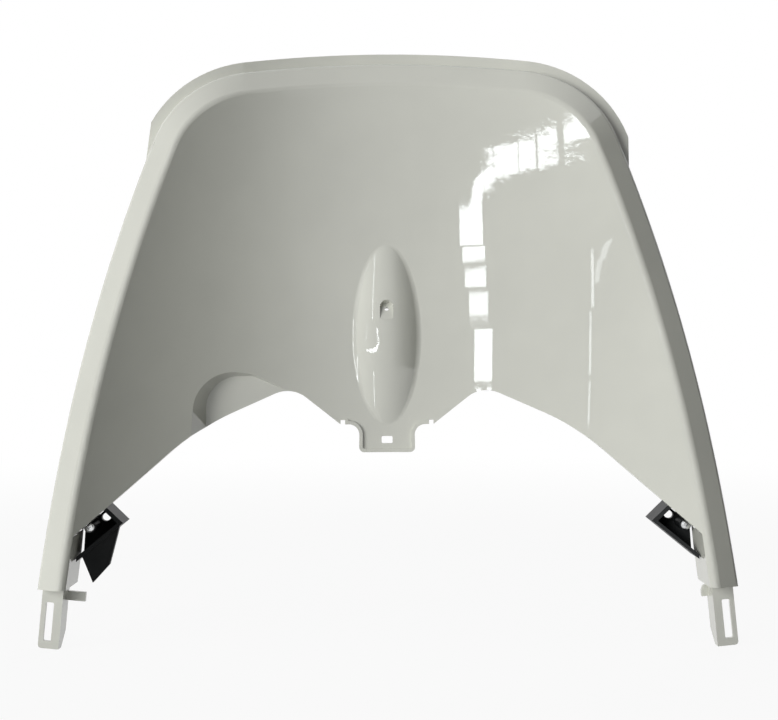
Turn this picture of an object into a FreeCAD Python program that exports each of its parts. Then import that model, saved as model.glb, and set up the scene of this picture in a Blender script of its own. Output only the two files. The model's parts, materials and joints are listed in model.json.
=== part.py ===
import FreeCAD, Part
import math
import os

import Sketcher
from FreeCAD import Placement, Rotation, Vector

# Lower front panel of a scooter: one dished moulding, two moulded trays behind its lower corners, and
# the screw in each tray.  Millimetres; X to the right, Y away from the viewer, Z up, and the origin at
# the mouth of the screw hole in the middle bump.

os.makedirs("parts", exist_ok=True)
doc = FreeCAD.newDocument("panel")

SIZES = [
    ("wall", 2.5, "wall of the moulding"),
    ("dish_radius", 300, "hollow of the panel from side to side"),
    ("dish_rise", 800, "hollow of the panel from top to bottom"),
    ("dish_back", 5, "deepest point of the front face behind the origin"),
    ("top_height", 184.4, "top of the raised border above the origin"),
    ("top_radius", 572, "curve of the top edge"),
    ("corner_radius", 85, "curve of the upper corners"),
    ("side_radius", 950, "curve of the two sides"),
    ("half_width", 232.8, "half the width at the foot of the legs"),
    ("leg_drop", 190, "foot of the legs below the origin"),
    ("side_lean", 2, "lean of a side at its foot, degrees"),
    ("band_width", 17, "raised border, seen from the front"),
    ("band_tilt", 25, "slope of the border away from its crest, degrees"),
    ("crest_round", 5, "rounding of the border's crest"),
    ("edge_round", 3.2, "rounding of the border's outer edge"),
    ("rim_depth", 30, "border wall, measured back from the front face"),
    ("arch_return", 6, "turned-back edge of the small arches and tab"),
    ("leg_width", 21.8, "arch's end, in from the foot's side"),
    ("leg_height", 33.7, "arch's end above the foot"),
    ("leg_taper", 5, "lean of the leg's inner edge, out by this far below the foot"),
    ("leg_return", 20, "inner wall of a leg"),
    ("foot_trim", 7, "stretch at the foot where the bottom wall is cut short"),
    ("knee_reach", 138.5, "bend in the arch, from the middle"),
    ("knee_drop", 88.1, "bend in the arch, below the origin"),
    ("knee_round", 150, "rounding of that bend"),
    ("peak_reach", 71.8, "top of a small arch, from the middle"),
    ("peak_drop", 58.4, "top of a small arch, below the origin"),
    ("peak_round", 22, "rounding of a small arch"),
    ("shelf_drop", 87.5, "shelf beside the tab, below the origin"),
    ("notch_reach", 31.8, "notch beside the tab, from the middle"),
    ("notch_width", 3.4, "notch beside the tab"),
    ("notch_height", 3.2, "notch beside the tab, up into the panel"),
    ("tab_width", 42.4, "tab at the bottom"),
    ("tab_drop", 108.5, "end of the tab below the origin"),
    ("tab_lip", 2.6, "raised edge of the tab, width"),
    ("tab_lip_rise", 1.8, "raised edge of the tab, height"),
    ("slot_width", 8.3, "slot in the tab, side to side"),
    ("slot_height", 5.3, "slot in the tab, up and down"),
    ("slot_drop", 99.2, "slot in the tab below the origin"),
    ("flange_reach", 9.4, "outer flange beyond the border"),
    ("flange_step", 9, "outer flange behind the border's edge"),
    ("flange_lip", 6, "turned-back edge of the outer flange"),
    ("flange_bite", 1.5, "depth of the flange's root in the border wall"),
    ("flange_end_right", 54.8, "square end of the flange on the right, in from the foot's side"),
    ("flange_fade_left", 47.4, "where the flange starts to fade on the left, below the top"),
    ("flange_fade_inset", 60.8, "that place, in from the foot's side"),
    ("flange_end_left", 83.4, "where the flange ends on the left, below the top"),
    ("flange_end_inset", 56.3, "that place, in from the foot's side"),
    ("bump_width", 48.5, "middle bump, side to side"),
    ("bump_height", 136, "middle bump, end to end"),
    ("bump_rise", 9, "middle bump, standing forward"),
    ("bump_middle", -19.5, "middle of the bump above the origin"),
    ("bump_blend", 6, "blend round the bump"),
    ("dimple_width", 9.8, "dimple round the screw hole"),
    ("dimple_length", 16, "dimple below the screw hole"),
    ("dimple_tilt", 25, "lean of the screw hole upwards, degrees"),
    ("screw_hole", 3.4, "screw hole in the dimple"),
    ("seat_thickness", 3, "floor of the dimple"),
    ("pocket_reach", 110, "side pocket, left of the origin"),
    ("pocket_depth", 3.594285, "side pocket's floor behind the front face"),
    ("pocket_outer", 25, "outer end of the pocket's floor, out from there"),
    ("pocket_inner", 52, "inner end of the pocket's floor, in from there"),
    ("pocket_drop", 50.5, "top of the pocket's floor below the origin"),
    ("pocket_bend", 10, "where that top starts to drop, in from the pocket's place"),
    ("pocket_shoulder", 18.5, "drop of the pocket's top towards the middle"),
    ("pocket_corner", 24, "rounding of the pocket's outer corner"),
    ("pocket_bend_round", 12, "rounding where the pocket's top starts to drop"),
    ("pocket_open", 47.5, "pocket's open end below the shelf beside the tab"),
    ("pocket_turn", 9, "turn of the side pocket's floor towards the middle, degrees"),
    ("pocket_flare", 30, "flare of the side pocket's walls, degrees"),
    ("tongue_width", 14, "tongue below a leg, face"),
    ("tongue_length", 44, "tongue below a leg"),
    ("tongue_root", 2, "tongue inside the leg"),
    ("tongue_depth", 15, "tongue below a leg, inner flange"),
    ("tongue_inset", 16.2, "tongue in from the foot's side"),
    ("tongue_set", 12.364343, "tongue behind the leg's front edge"),
    ("tongue_lean", 5.5, "lean of the tongue outwards, degrees"),
    ("tongue_slot_width", 5.3, "slot in the tongue, across"),
    ("tongue_slot_length", 26, "slot in the tongue, along"),
    ("tongue_slot_drop", 11, "slot below the foot of the leg"),
    ("tray_gap", 0.3, "clearance between a tray and the panel"),
    ("tray_wall", 2.5, "wall of the corner trays"),
    ("tray_depth", 14, "depth of the corner trays behind the panel"),
    ("tray_width", 15, "width of the corner trays, across the arch edge"),
    ("tray_length", 44, "length of the corner trays, along the arch edge"),
    ("tray_inset", 19.261903, "tray's corner, from the arch's end along the arch"),
    ("tray_overhang", 12.215936, "tray's corner, out from the arch edge"),
    ("tray_turn", 2.2495, "turn of the tray's rail from the arch edge, degrees"),
    ("tray_lug", 12, "lug lying on the back of the panel"),
    ("tray_lug_reach", 16, "that lug beyond the tray's corner, towards the middle"),
    ("tray_lug_clear", 7, "that lug clear of the leg"),
    ("tray_hole", 5.6, "hole in the floor of a tray"),
    ("tray_hole_along", 5.4, "tray hole from the tray's corner, along the rail"),
    ("tray_hole_across", 8.9, "tray hole from the tray's corner, across the rail"),
    ("tray_screw_along", 13.5, "tray screw from the tray's corner, along the rail"),
    ("tray_screw_across", 10, "tray screw from the tray's corner, across the rail"),
    ("tray_screw_set", 10.5, "tray screw's seat behind the front face"),
    ("tray_boss", 7.8, "boss under a tray screw"),
    ("tray_screw_head", 6.8, "head of a tray screw"),
    ("tray_screw_rise", 2.4, "height of that head"),
    ("tray_screw_crown", 1.4, "rounding of that head"),
    ("tray_screw_shank", 3, "shank of a tray screw"),
    ("tray_screw_length", 21, "length of that shank"),
    ("plate_set", 2, "left tray's lower plate behind the tray's front edge"),
    ("plate_drop", 20.4, "lower end of that plate from the tray's rail"),
    ("plate_reach", 34, "lower end of that plate along the rail"),
    ("plate_bend_drop", 18.3, "bend in that plate's edge from the tray's rail"),
    ("plate_bend_reach", 20.6, "bend in that plate's edge along the rail"),
]

sheet = doc.addObject("Spreadsheet::Sheet", "sizes")
for row, (alias, value, meaning) in enumerate(SIZES, start=1):
    sheet.set(f"A{row}", meaning)
    sheet.set(f"B{row}", str(value))
    sheet.setAlias(f"B{row}", alias)
doc.recompute()


def size(alias):
    """Reads one size from the sheet."""
    return float(sheet.get(alias))


AXIS_Y = size("dish_back") - size("dish_radius")
FRONT_Y = AXIS_Y + 75
BACK_Y = size("dish_back") + 3.5 * size("rim_depth")
FOOT_Z = -size("leg_drop")
ARCH_END_Z = size("leg_height") - size("leg_drop")


def dish_arc_y(z, push):
    """Y of the dish on its middle line at a height, pushed back by a distance."""
    rise = size("dish_rise")
    return size("dish_back") - rise + math.sqrt((rise + push) ** 2 - z * z)


def dish_y(x, z, push=0.0):
    """Y of the dish at a point seen from the front."""
    radius = dish_arc_y(z, push) - AXIS_Y
    return AXIS_Y + math.sqrt(radius * radius - x * x)


def dish_gap(point):
    """Distance of a point behind the dish, negative in front of it."""
    out = math.hypot(point.x, point.y - AXIS_Y) + AXIS_Y
    rise = size("dish_rise")
    return math.hypot(out - size("dish_back") + rise, point.z) - rise


def new_body(name):
    return doc.addObject("PartDesign::Body", name)


def plane_sketch(body, plane, name, offset=Vector(0, 0, 0)):
    """Adds a sketch to one of the body's own origin planes, shifted in the sketch's own directions."""
    sketch = body.newObject("Sketcher::SketchObject", name)
    origin = next(o for o in body.Origin.OriginFeatures if o.Role == plane)
    sketch.AttachmentSupport = [(origin, "")]
    sketch.MapMode = "FlatFace"
    sketch.AttachmentOffset = Placement(offset, Rotation())
    return sketch


def front_sketch(body, name):
    """A sketch seen from the front, standing at the back of everything."""
    return plane_sketch(body, "XZ_Plane", name, Vector(0, 0, -BACK_Y))


def draw_loop(sketch, points):
    """Draws a closed chain of straight lines and ties their ends together."""
    first = sketch.GeometryCount
    count = len(points)
    for i, (a, b) in enumerate(points):
        c, d = points[(i + 1) % count]
        sketch.addGeometry(Part.LineSegment(Vector(a, b, 0), Vector(c, d, 0)), False)
    for i in range(count):
        sketch.addConstraint(Sketcher.Constraint("Coincident", first + i, 2, first + (i + 1) % count, 1))


def draw_edges(sketch, edges):
    """Draws the lines and arcs of a flat wire lying in the XZ plane."""
    for edge in edges:
        if edge.isClosed():
            round_centre = Vector(edge.Curve.Center.x, edge.Curve.Center.z, 0)
            sketch.addGeometry(Part.Circle(round_centre, Vector(0, 0, 1), edge.Curve.Radius), False)
            continue
        a, b = (edge.valueAt(edge.FirstParameter), edge.valueAt(edge.LastParameter))
        m = edge.valueAt((edge.FirstParameter + edge.LastParameter) / 2)
        flat = [Vector(p.x, p.z, 0) for p in (a, m, b)]
        if isinstance(edge.Curve, Part.Line):
            sketch.addGeometry(Part.LineSegment(flat[0], flat[2]), False)
        else:
            sketch.addGeometry(Part.ArcOfCircle(*flat), False)


def rounded_loop(corners):
    """Edges in the XZ plane of a closed chain of (x, z, rounding) corners."""
    arcs, edges, count = [], [], len(corners)
    for i, (x, z, rounding) in enumerate(corners):
        here = Vector(x, 0, z)
        before = Vector(corners[i - 1][0], 0, corners[i - 1][1])
        after = Vector(corners[(i + 1) % count][0], 0, corners[(i + 1) % count][1])
        into, away = (before - here).normalize(), (after - here).normalize()
        if rounding:
            half = into.getAngle(away) / 2
            reach = rounding / math.tan(half)
            inward = (into + away).normalize() * (rounding / math.sin(half) - rounding)
            arcs.append((here + into * reach, here + inward, here + away * reach))
        else:
            arcs.append((here, None, here))
    for i, (_, _, end) in enumerate(arcs):
        start, top, far = arcs[(i + 1) % count]
        edges.append(Part.makeLine(end, start))
        if top:
            edges.append(Part.Arc(start, top, far).toShape())
    return edges


def grown(edges, distance):
    """The same closed chain, moved outwards by a distance."""
    if not distance:
        return edges
    face = Part.Face(Part.Wire(Part.sortEdges(edges)[0]))
    return face.makeOffset2D(distance).OuterWire.Edges


def pad(body, sketch, name, length=BACK_Y - FRONT_Y):
    feature = body.newObject("PartDesign::Pad", name)
    feature.Profile = sketch
    feature.Length = length
    sketch.Visibility = False
    doc.recompute()
    return feature


def turn_away(body, name, push, front):
    """Turns away what lies in front of the pushed dish, or what lies behind it."""
    sketch = plane_sketch(body, "YZ_Plane", name + "_sketch", Vector(AXIS_Y, 0, 0))
    low, high = FOOT_Z - 110, size("top_height") + 75.6
    ends = [Vector(dish_arc_y(z, push) - AXIS_Y, z, 0) for z in (low, 0.0, high)]
    sketch.addGeometry(Part.ArcOfCircle(*ends), False)
    far = 0.0 if front else 2 * size("dish_radius")
    corners = [ends[2], Vector(far, high, 0), Vector(far, low, 0), ends[0]]
    for a, b in zip(corners, corners[1:]):
        sketch.addGeometry(Part.LineSegment(a, b), False)
    radius = sketch.addConstraint(Sketcher.Constraint("Radius", 0, size("dish_rise") + push))
    sketch.renameConstraint(radius, "rise")
    sketch.setExpression("Constraints.rise", f"sizes.dish_rise + {push}")
    groove = body.newObject("PartDesign::Groove", name)
    groove.Profile = sketch
    groove.ReferenceAxis = (sketch, ["V_Axis"])
    groove.Angle = 180
    groove.Midplane = True
    sketch.Visibility = False
    doc.recompute()
    return groove


def outline_arcs(inset):
    """Centres, radii and end angles of the side, corner and top arcs on the right-hand side."""
    top_r, corner_r, side_r = size("top_radius"), size("corner_radius"), size("side_radius")
    lean = math.radians(size("side_lean"))
    top_c = (0.0, size("top_height") - top_r)
    side_c = (size("half_width") - side_r * math.cos(lean), FOOT_Z - side_r * math.sin(lean))
    to_top, to_side = top_r - corner_r, side_r - corner_r
    dx, dz = side_c[0] - top_c[0], side_c[1] - top_c[1]
    gap = math.hypot(dx, dz)
    along = (to_top**2 - to_side**2 + gap**2) / (2 * gap)
    across = math.sqrt(to_top**2 - along**2)
    near = (top_c[0] + along * dx / gap, top_c[1] + along * dz / gap)
    choices = [(near[0] - s * across * dz / gap, near[1] + s * across * dx / gap) for s in (1, -1)]
    corner_c = max(choices, key=lambda c: c[1])
    top_end = math.atan2(corner_c[1] - top_c[1], corner_c[0] - top_c[0])
    side_end = math.atan2(corner_c[1] - side_c[1], corner_c[0] - side_c[0])
    return (
        (side_c, side_r - inset, None, side_end),
        (corner_c, corner_r - inset, side_end, top_end),
        (top_c, top_r - inset, top_end, math.pi / 2),
    )


def outline_edges(inset, foot):
    """Border outline from the right foot over the top to the left foot, as five tangent arcs."""
    side, corner, top = outline_arcs(inset)

    def at(arc, angle):
        return Vector(arc[0][0] + arc[1] * math.cos(angle), 0, arc[0][1] + arc[1] * math.sin(angle))

    start = math.asin((foot - side[0][1]) / side[1])
    right = [
        [at(side, a) for a in (start, (start + side[3]) / 2, side[3])],
        [at(corner, a) for a in (corner[2], (corner[2] + corner[3]) / 2, corner[3])],
    ]
    crown = [at(top, top[2]), at(top, top[3]), Vector(-at(top, top[2]).x, 0, at(top, top[2]).z)]
    left = [[Vector(-p.x, 0, p.z) for p in reversed(arc)] for arc in reversed(right)]
    return [Part.Arc(*arc).toShape() for arc in right + [crown] + left]


def outline_body(name, inset, foot):
    """A block with the border's outline, moved in by the inset and closed at the foot."""
    body = new_body(name)
    sketch = front_sketch(body, name + "_outline")
    edges = outline_edges(inset, foot)
    ends = [edges[-1].valueAt(edges[-1].LastParameter), edges[0].valueAt(edges[0].FirstParameter)]
    if ends[0].x > 0:
        ends = [edges[-1].valueAt(edges[-1].FirstParameter), edges[0].valueAt(edges[0].LastParameter)]
    draw_edges(sketch, edges + [Part.makeLine(*ends)])
    pad(body, sketch, name + "_block")
    return body


def middle(edge):
    return edge.valueAt((edge.FirstParameter + edge.LastParameter) / 2)


def round_edges(body, name, expression, test):
    """Rounds every edge of the body that passes the test, with the radius bound to the sheet."""
    names = [f"Edge{i}" for i, e in enumerate(body.Shape.Edges, start=1) if test(middle(e), e)]
    if not names:
        raise ValueError(name + ": no edge to round")
    tip = body.Tip
    fillet = body.newObject("PartDesign::Fillet", name)
    fillet.Base = (tip, names)
    fillet.setExpression("Radius", expression)
    doc.recompute()
    return fillet


def crest_spine():
    """The border's crest: the front face crossed by the outline moved in by the border's width."""
    curves = []
    for flat in outline_edges(size("band_width"), FOOT_Z - 30):
        first, last = flat.FirstParameter, flat.LastParameter
        seen = [flat.valueAt(first + (last - first) * i / 14) for i in range(15)]
        curve = Part.BSplineCurve()
        curve.interpolate(Points=[Vector(p.x, dish_y(p.x, p.z), p.z) for p in seen])
        curves.append(curve.toShape())
    return Part.Wire(Part.sortEdges(curves)[0])


def along_crest(spine, section):
    """Sweeps a section along the crest; its points are (outwards, backwards) from the crest."""
    start = spine.OrderedEdges[0]
    ends = [start.FirstParameter, start.LastParameter]
    corner = spine.OrderedVertexes[0].Point
    at = min(ends, key=lambda u: (start.valueAt(u) - corner).Length)
    run = start.tangentAt(at)
    out = Vector(run.z, 0, -run.x).normalize()
    if out.x * corner.x < 0:
        out = out * -1
    points = [corner + out * a + Vector(0, b, 0) for a, b in section]
    sweep = Part.BRepOffsetAPI.MakePipeShell(spine)
    sweep.setBiNormalMode(Vector(0, 1, 0))
    sweep.add(Part.makePolygon(points + points[:1]))
    sweep.build()
    sweep.makeSolid()
    return sweep.shape()


def swept_body(name, spine, section):
    feature = doc.addObject("Part::Feature", name + "_sweep")
    feature.Shape = along_crest(spine, section)
    body = new_body(name)
    body.BaseFeature = feature
    doc.recompute()
    return body


def combine(body, name, kind, tools):
    """Joins other bodies to this one, or cuts them away."""
    boolean = body.newObject("PartDesign::Boolean", name)
    boolean.Type = kind
    boolean.setObjects(tools)
    doc.recompute()
    return boolean


def band_cutter(name, push):
    """What stands in front of the border's sloping band, pushed back by a distance."""
    slope = math.tan(math.radians(size("band_tilt")))
    back = push / math.cos(math.radians(size("band_tilt")))
    near, far, ahead = 5 - size("band_width"), size("band_width") + 43, -3 * size("rim_depth")
    section = [(near, back + near * slope), (far, back + far * slope), (far, ahead), (near, ahead)]
    return swept_body(name, crest_spine(), section)


def block(name, edges, front=None, back=None):
    """A block with a front view given by edges, kept between two pushed dishes."""
    body = new_body(name)
    sketch = front_sketch(body, name + "_outline")
    draw_edges(sketch, edges)
    pad(body, sketch, name + "_block")
    if front is not None:
        turn_away(body, name + "_front", front, True)
    if back is not None:
        turn_away(body, name + "_back", back, False)
    return body


def bump(body, name, push):
    """Adds the long middle bump as a barrel turned about an upright line behind the panel."""
    half_w, half_h, mid = size("bump_width") / 2, size("bump_height") / 2, size("bump_middle")
    nose = dish_y(0, mid) - size("bump_rise")
    sagitta = dish_y(half_w, mid) - nose
    radius = (half_w**2 + sagitta**2) / (2 * sagitta)
    axis = nose + radius
    ends = [Vector(dish_y(0, mid + side * half_h), mid + side * half_h, 0) for side in (1, -1)]
    outer = Part.ArcOfCircle(ends[0], Vector(nose, mid, 0), ends[1])
    centre, long_radius = outer.Center, outer.Radius - push
    reach = math.asin((half_h + 16) / outer.Radius)
    middle_angle = math.pi - math.asin((mid - centre.y) / outer.Radius)
    sketch = plane_sketch(body, "YZ_Plane", name + "_sketch", Vector(axis, 0, 0))
    points = [
        Vector(centre.x - axis + long_radius * math.cos(a), centre.y + long_radius * math.sin(a), 0)
        for a in (middle_angle - reach, middle_angle, middle_angle + reach)
    ]
    sketch.addGeometry(Part.ArcOfCircle(*points), False)
    corners = [points[2], Vector(0, points[2].y, 0), Vector(0, points[0].y, 0), points[0]]
    for a, b in zip(corners, corners[1:]):
        sketch.addGeometry(Part.LineSegment(a, b), False)
    feature = body.newObject("PartDesign::Revolution", name)
    feature.Profile = sketch
    feature.ReferenceAxis = (sketch, ["V_Axis"])
    feature.Angle = 180
    feature.Midplane = True
    sketch.Visibility = False
    doc.recompute()


def panel_form(name, push):
    """The panel as a solid block with the finished front face, moved inwards by a distance."""
    body = outline_body(name, push, push + FOOT_Z)
    turn_away(body, name + "_dish", push, True)
    combine(body, name + "_band", "Cut", [band_cutter(name + "_band_cutter", push)])
    foot = 1 + FOOT_Z + push
    round_edges(
        body,
        name + "_crest",
        f"sizes.crest_round - {push}",
        lambda p, e: abs(dish_gap(p) - push) < 0.05 and p.z > foot,
    )
    round_edges(
        body,
        name + "_edge",
        f"sizes.edge_round - {push}",
        lambda p, e: 4 < dish_gap(p) < size("rim_depth") and p.z > foot and e.Length > 40,
    )
    bump(body, name + "_bump", push)
    round_edges(
        body,
        name + "_bump_blend",
        f"sizes.bump_blend + {push}",
        lambda p, e: abs(dish_gap(p) - push) < 0.05
        and e.BoundBox.XLength < 1.4 * size("bump_width")
        and abs(p.x) < size("bump_width")
        and e.Length > 20,
    )
    return body


LEG_X = size("half_width") - size("leg_width")


def arch_corners():
    """Lower edge of the panel from the right leg to the left leg, closed far below."""
    tab, shelf = size("tab_width") / 2, -size("shelf_drop")
    notch_in, notch_top = size("notch_reach"), size("notch_height") - size("shelf_drop")
    notch_out = notch_in + size("notch_width")
    right = [
        (LEG_X + size("leg_taper"), FOOT_Z - 72, 0),
        (LEG_X, ARCH_END_Z, 3),
        (size("knee_reach"), -size("knee_drop"), size("knee_round")),
        (size("peak_reach"), -size("peak_drop"), size("peak_round")),
        (notch_out, shelf, 0),
        (notch_out, notch_top, 0),
        (notch_in, notch_top, 0),
        (notch_in, shelf, 0),
        (tab - 0.4, shelf, 8),
        (tab, -size("tab_drop"), 4),
    ]
    return right + [(-x, z, r) for x, z, r in reversed(right)]


def mirrored(side, corners):
    """The same corners on the left or on the right."""
    return [(side * x, z, rounding) for x, z, rounding in corners]


def leg_keep(name, side):
    """The inner wall of a leg, kept when the back is hollowed."""
    top, low, wall, out = ARCH_END_Z + 4.3, FOOT_Z - 76, size("wall"), LEG_X + size("leg_taper")
    corners = [(LEG_X + 0.2, top, 0), (LEG_X + wall + 0.5, top, 0)]
    corners += [(out + wall + 0.8, low, 0), (out - 2, low, 0)]
    return block(name, rounded_loop(mirrored(side, corners)), back=size("leg_return"))


def foot_trim(name, side):
    """What is cut away behind the bottom wall of a leg."""
    inner, outer = LEG_X - 6, size("half_width") - size("wall") - 1.7
    top, low = FOOT_Z + size("foot_trim"), FOOT_Z - 10
    corners = [(inner, top, 0), (outer, top, 0), (outer, low, 0), (inner, low, 0)]
    return block(name, rounded_loop(mirrored(side, corners)), front=size("leg_return"))


def tab_lip(name):
    """The raised edge round the tab."""
    reach, top, low = size("notch_reach") - 0.1, 3.5 - size("shelf_drop"), -6.5 - size("tab_drop")
    frame = [(-reach, top, 0), (reach, top, 0), (reach, low, 0), (-reach, low, 0)]
    body = block(name, rounded_loop(frame), front=-size("tab_lip_rise"))
    edge = block(name + "_edge", grown(rounded_loop(arch_corners()), size("tab_lip")))
    combine(body, name + "_shape", "Common", [edge])
    return body


def turned_body(name, base, rotation):
    """A body with its own place, whose front view is drawn square to its own forward direction."""
    body = new_body(name)
    body.Placement = Placement(base, rotation)
    return body


def own_block(body, name, edges, behind, ahead, flare=0.0):
    """A block in the body's own directions, from a distance behind its origin to one ahead of it."""
    sketch = plane_sketch(body, "XZ_Plane", name + "_outline", Vector(0, 0, -behind))
    draw_edges(sketch, edges)
    feature = pad(body, sketch, name + "_block", behind + ahead)
    if flare:
        feature.TaperAngle = flare
        doc.recompute()
    return feature


def side_pocket(name, grow):
    """The pocket pressed into the left-hand side: a flat floor with flared walls, open at the arch edge."""
    x = -size("pocket_reach")
    floor = Vector(x, dish_y(x, 0) + size("pocket_depth"), 0)
    body = turned_body(name, floor, Rotation(Vector(0, 0, 1), size("pocket_turn")))
    flare = math.radians(size("pocket_flare"))
    aside = grow / math.cos(flare) - grow * math.tan(flare)
    outer, inner, top = -size("pocket_outer"), size("pocket_inner"), -size("pocket_drop")
    low = -size("shelf_drop") - size("pocket_open")
    corners = [
        (outer, low, 0),
        (outer, top, size("pocket_corner")),
        (size("pocket_bend"), top, size("pocket_bend_round")),
        (inner, top - size("pocket_shoulder"), 0),
        (inner, low, 0),
    ]
    own_block(body, name, grown(rounded_loop(corners), aside), grow, 45, size("pocket_flare"))
    return body


def dimple_body(name, grow, behind):
    """The dimple round the screw hole, with its floor leaning upwards and running out below."""
    body = turned_body(name, Vector(0, 0, 0), Rotation(Vector(1, 0, 0), -size("dimple_tilt")))
    r, low = size("dimple_width") / 2 + grow, -size("dimple_length") - grow
    edges = [
        Part.Arc(Vector(r, 0, 0), Vector(0, 0, r), Vector(-r, 0, 0)).toShape(),
        Part.makeLine(Vector(-r, 0, 0), Vector(-r, 0, low)),
        Part.makeLine(Vector(-r, 0, low), Vector(r, 0, low)),
        Part.makeLine(Vector(r, 0, low), Vector(r, 0, 0)),
    ]
    own_block(body, name, edges, behind, 25)
    return body


def circle_edges(x, z, radius):
    return [Part.makeCircle(radius, Vector(x, 0, z), Vector(0, -1, 0))]


def tongue(name, side, pin):
    """An angled tongue below a leg: a slotted face, a flange running back, and a locating pin."""
    width, length, depth, wall = (size(a) for a in ("tongue_width", "tongue_length", "tongue_depth", "wall"))
    turn = Rotation(Vector(0, 1, 0), -side * size("tongue_lean"))
    inner, top = size("half_width") - size("tongue_inset"), FOOT_Z + size("tongue_root")
    base = Vector(side * inner, dish_y(LEG_X, FOOT_Z) + size("tongue_set"), top)
    body = turned_body(name, base, turn)
    face = [(0, 0, 0), (width, 0, 0), (width, -length, 2.5), (0, -length, 1)]
    own_block(body, name + "_face", rounded_loop(mirrored(side, face)), 0, wall)
    flange = plane_sketch(body, "YZ_Plane", name + "_flange_outline", Vector(0, 0, 0 if side > 0 else -wall))
    back = depth - wall
    rim = [(-wall, 0), (back, 0), (back, 10 - length), (back - 8, -length), (-wall, -length)]
    draw_loop(flange, rim)
    pad(body, flange, name + "_flange", wall)
    peg = plane_sketch(body, "XZ_Plane", name + "_pin_outline", Vector(0, 0, 4 - depth))
    draw_edges(peg, rounded_loop(mirrored(side, pin)))
    pad(body, peg, name + "_pin", wall)
    near = (width + wall - size("tongue_slot_width")) / 2
    far = near + size("tongue_slot_width")
    high = -size("tongue_slot_drop") - size("tongue_root")
    low = high - size("tongue_slot_length")
    opening = [(near, high, 1), (far, high, 1), (far, low, 1), (near, low, 1)]
    slot = plane_sketch(body, "XZ_Plane", name + "_slot_outline", Vector(0, 0, 5))
    draw_edges(slot, rounded_loop(mirrored(side, opening)))
    cut = body.newObject("PartDesign::Pocket", name + "_slot")
    cut.Profile = slot
    cut.Length = 4 * wall
    doc.recompute()
    return body


def flange_body(name):
    """The outer flange that the neighbouring cover lies on, with its turned-back edge."""
    wall, lip = size("wall"), size("flange_lip")
    step = size("band_width") * math.tan(math.radians(size("band_tilt"))) + size("flange_step")
    root, edge = size("band_width") - size("flange_bite"), size("band_width") + size("flange_reach")
    section = [(root, step), (edge, step), (edge, step + lip)]
    section += [(edge - wall, step + lip), (edge - wall, step + wall), (root, step + wall)]
    body = swept_body(name, crest_spine(), section)
    side_x, top, low = size("half_width"), size("top_height"), FOOT_Z - 90
    right_x, far = side_x - size("flange_end_right"), 1.3 * side_x
    right = [(right_x, top, 0), (far, top, 0), (far, low, 0), (right_x, low, 0)]
    fade, end = top - size("flange_fade_left"), top - size("flange_end_left")
    fade_x, end_x = side_x - size("flange_fade_inset"), side_x - size("flange_end_inset")
    left = [(-fade_x, fade, 0), (-end_x, end, 0), (-end_x, low, 0), (-far, low, 0), (-far, fade, 0)]
    ends = [block(name + "_right_end", rounded_loop(right)), block(name + "_left_end", rounded_loop(left))]
    combine(body, name + "_ends", "Cut", ends)
    return body


DROP = ARCH_END_Z + size("knee_drop")
ARCH_SLOPE = math.atan2(-DROP, LEG_X - size("knee_reach"))
RAIL_SLOPE = ARCH_SLOPE - math.radians(size("tray_turn"))
TRAY_END_X = LEG_X - 2 * size("tray_gap")


def tray_point(side, along, across):
    """A point given along and across the tray's rail from its inner corner, seen from the front."""
    inset, overhang = size("tray_inset"), size("tray_overhang")
    x = LEG_X - inset * math.cos(ARCH_SLOPE) - overhang * math.sin(ARCH_SLOPE)
    z = ARCH_END_Z + inset * math.sin(ARCH_SLOPE) - overhang * math.cos(ARCH_SLOPE)
    c, s = math.cos(RAIL_SLOPE), math.sin(RAIL_SLOPE)
    return (side * (x + along * c + across * s), z - along * s + across * c)


def tray_edges(side, low, high, beyond=0.0):
    """Edges of a strip from (along, across) to (along, across), cut off upright at the leg."""
    (a0, b0), (a1, b1) = low, high
    room = TRAY_END_X + beyond
    x0, x1 = (abs(tray_point(side, 0, b)[0]) for b in (b0, b1))
    ends = [min(a1, (room - x) / math.cos(RAIL_SLOPE)) for x in (x0, x1)]
    strip = ((a0, b0), (ends[0], b0), (ends[1], b1), (a0, b1))
    return rounded_loop([tray_point(side, a, b) + (0,) for a, b in strip])


def screw_seat(side):
    """Where a tray's screw sits on its boss, facing straight forward."""
    x, z = tray_point(side, size("tray_screw_along"), size("tray_screw_across"))
    return Vector(x, dish_y(x, z, size("tray_screw_set")), z)


def lower_plate(name, side, front):
    """The left tray's longer lower plate."""
    corners = [
        (-1, -1),
        (size("plate_bend_reach"), -size("plate_bend_drop")),
        (size("plate_reach"), -size("plate_drop")),
        (27, -1),
    ]
    edges = rounded_loop([tray_point(side, a, b) + (0,) for a, b in corners])
    return block(name, edges, front + size("plate_set"), front + size("plate_set") + size("tray_wall"))


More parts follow.
